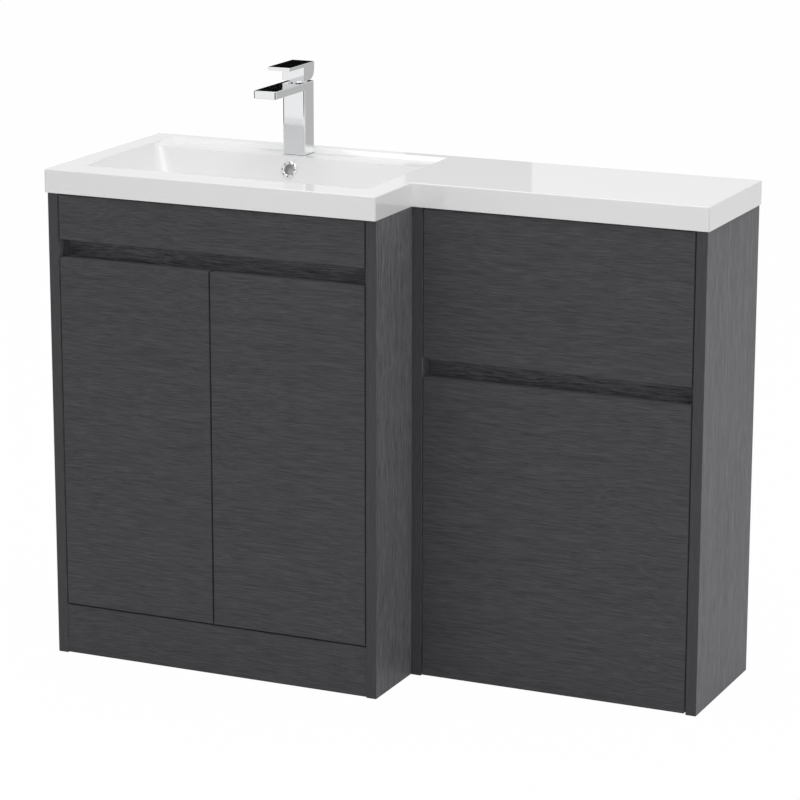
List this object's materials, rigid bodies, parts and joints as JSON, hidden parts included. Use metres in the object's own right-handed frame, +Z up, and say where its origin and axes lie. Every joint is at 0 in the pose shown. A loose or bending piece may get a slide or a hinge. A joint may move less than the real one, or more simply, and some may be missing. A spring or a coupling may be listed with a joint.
{
  "type": "vanity unit",
  "caption": "Bathroom vanity cabinet with inset doors beside a shallower toilet cabinet, under one L-shaped cast basin with a sunken tap ledge and a square lever mixer tap.",
  "frame": {"origin": "centre of the outline in plan, on the floor", "axes": "+X to the right as seen from the front, +Y back to the wall, +Z up"},
  "size_m": [1.1, 0.395, 0.9798],
  "materials": {
    "front_laminate": "satin woodgrain, grain across",
    "carcass_laminate": "satin woodgrain, grain upright",
    "cast_basin": "gloss white",
    "chrome_plate": "polished",
    "steel": "zinc plated",
    "brass": "machined",
    "black_rubber": "matt",
    "clear_pad": "translucent",
    "white_plastic": "moulded",
    "grey_plastic": "moulded"
  },
  "bodies": {
    "furniture": {"vanity_plinth": "front_laminate", "vanity_fascia": "front_laminate", "wc_lower_panel": "front_laminate", "vanity_left_side": "carcass_laminate", "vanity_right_side": "carcass_laminate", "wc_left_side": "carcass_laminate", "wc_right_side": "carcass_laminate", "vanity_base_panel": "carcass_laminate", "vanity_lower_back_rail": "carcass_laminate", "vanity_upper_back_rail": "carcass_laminate", "vanity_finger_rail": "carcass_laminate", "vanity_shelf": "carcass_laminate", "wc_finger_rail": "carcass_laminate", "wc_upper_back_rail": "carcass_laminate", "wc_top_batten": "carcass_laminate", "wc_bottom_batten": "carcass_laminate", "basin": "cast_basin", "tap_base_gasket": "chrome_plate", "tap_body": "chrome_plate", "tap_collar": "chrome_plate", "overflow_ring": "chrome_plate", "waste_body": "chrome_plate", "left_hinge_arms": "steel", "right_hinge_arms": "steel", "hinge_plates": "steel", "hinge_plate_screws": "steel", "cabinet_connectors": "steel", "shelf_pins": "steel", "tap_stud": "steel", "tap_clamp_plate": "steel", "tap_clamp_nut": "brass", "tap_clamp_pad": "black_rubber", "waste_seal": "black_rubber", "trap_inlet_nut": "white_plastic", "trap_body": "white_plastic", "trap_cup": "white_plastic", "trap_outlet_nut": "white_plastic", "trap_outlet_pipe": "white_plastic", "waste_backnut": "white_plastic", "panel_clip_sockets": "white_plastic", "tap_cartridge": "white_plastic", "aerator": "grey_plastic"},
    "left_leaf": {"left_door": "front_laminate", "left_hinge_cups": "steel", "left_door_bumpers": "clear_pad"},
    "right_leaf": {"right_door": "front_laminate", "right_hinge_cups": "steel", "right_door_bumpers": "clear_pad"},
    "left_outer_arms": {"left_hinge_outer_links": "steel"},
    "left_inner_arms": {"left_hinge_inner_links": "steel"},
    "right_outer_arms": {"right_hinge_outer_links": "steel"},
    "right_inner_arms": {"right_hinge_inner_links": "steel"},
    "access_panel": {"wc_upper_panel": "front_laminate", "panel_clip_studs": "white_plastic"},
    "plug": {"waste_plug": "chrome_plate"},
    "swivel": {"tap_turning_stem": "brass"},
    "handle": {"tap_lever": "chrome_plate", "lever_grub_screw": "steel"}
  },
  "joints": [
    {"name": "left_door_swing", "type": "hinge", "parent": "furniture", "child": "left_leaf", "pos_m": [-0.526, -0.1935, 0.38575], "axis": [0, 0, -1], "range_deg": [0, 95]},
    {"name": "left_outer_link_swing", "type": "hinge", "parent": "furniture", "child": "left_outer_arms", "pos_m": [-0.526, -0.1935, 0.38575], "axis": [0, 0, -1], "range_deg": [0, 64]},
    {"name": "left_inner_link_swing", "type": "hinge", "parent": "furniture", "child": "left_inner_arms", "pos_m": [-0.526, -0.1935, 0.38575], "axis": [0, 0, -1], "range_deg": [0, 32]},
    {"name": "right_door_swing", "type": "hinge", "parent": "furniture", "child": "right_leaf", "pos_m": [0.026, -0.1935, 0.38575], "axis": [0, 0, 1], "range_deg": [0, 95]},
    {"name": "right_outer_link_swing", "type": "hinge", "parent": "furniture", "child": "right_outer_arms", "pos_m": [0.026, -0.1935, 0.38575], "axis": [0, 0, 1], "range_deg": [0, 64]},
    {"name": "right_inner_link_swing", "type": "hinge", "parent": "furniture", "child": "right_inner_arms", "pos_m": [0.026, -0.1935, 0.38575], "axis": [0, 0, 1], "range_deg": [0, 32]},
    {"name": "access_panel_pull", "type": "slide", "parent": "furniture", "child": "access_panel", "axis": [0, -1, 0], "range_m": [0, 0.06]},
    {"name": "plug_lift", "type": "slide", "parent": "furniture", "child": "plug", "axis": [0, 0, 1], "range_m": [0, 0.007]},
    {"name": "tap_temperature", "type": "hinge", "parent": "furniture", "child": "swivel", "pos_m": [-0.2515, 0.1405, 0.9475], "axis": [0, 0, 1], "range_deg": [-45, 45]},
    {"name": "tap_flow", "type": "hinge", "parent": "swivel", "child": "handle", "pos_m": [-0.2515, 0.14175, 0.9682], "axis": [-1, 0, 0], "range_deg": [0, 25]}
  ],
  "couplings": [
    {"joint": "left_outer_link_swing", "follows": "left_door_swing", "ratio": 0.66667},
    {"joint": "left_inner_link_swing", "follows": "left_door_swing", "ratio": 0.33333},
    {"joint": "right_outer_link_swing", "follows": "right_door_swing", "ratio": 0.66667},
    {"joint": "right_inner_link_swing", "follows": "right_door_swing", "ratio": 0.33333}
  ]
}
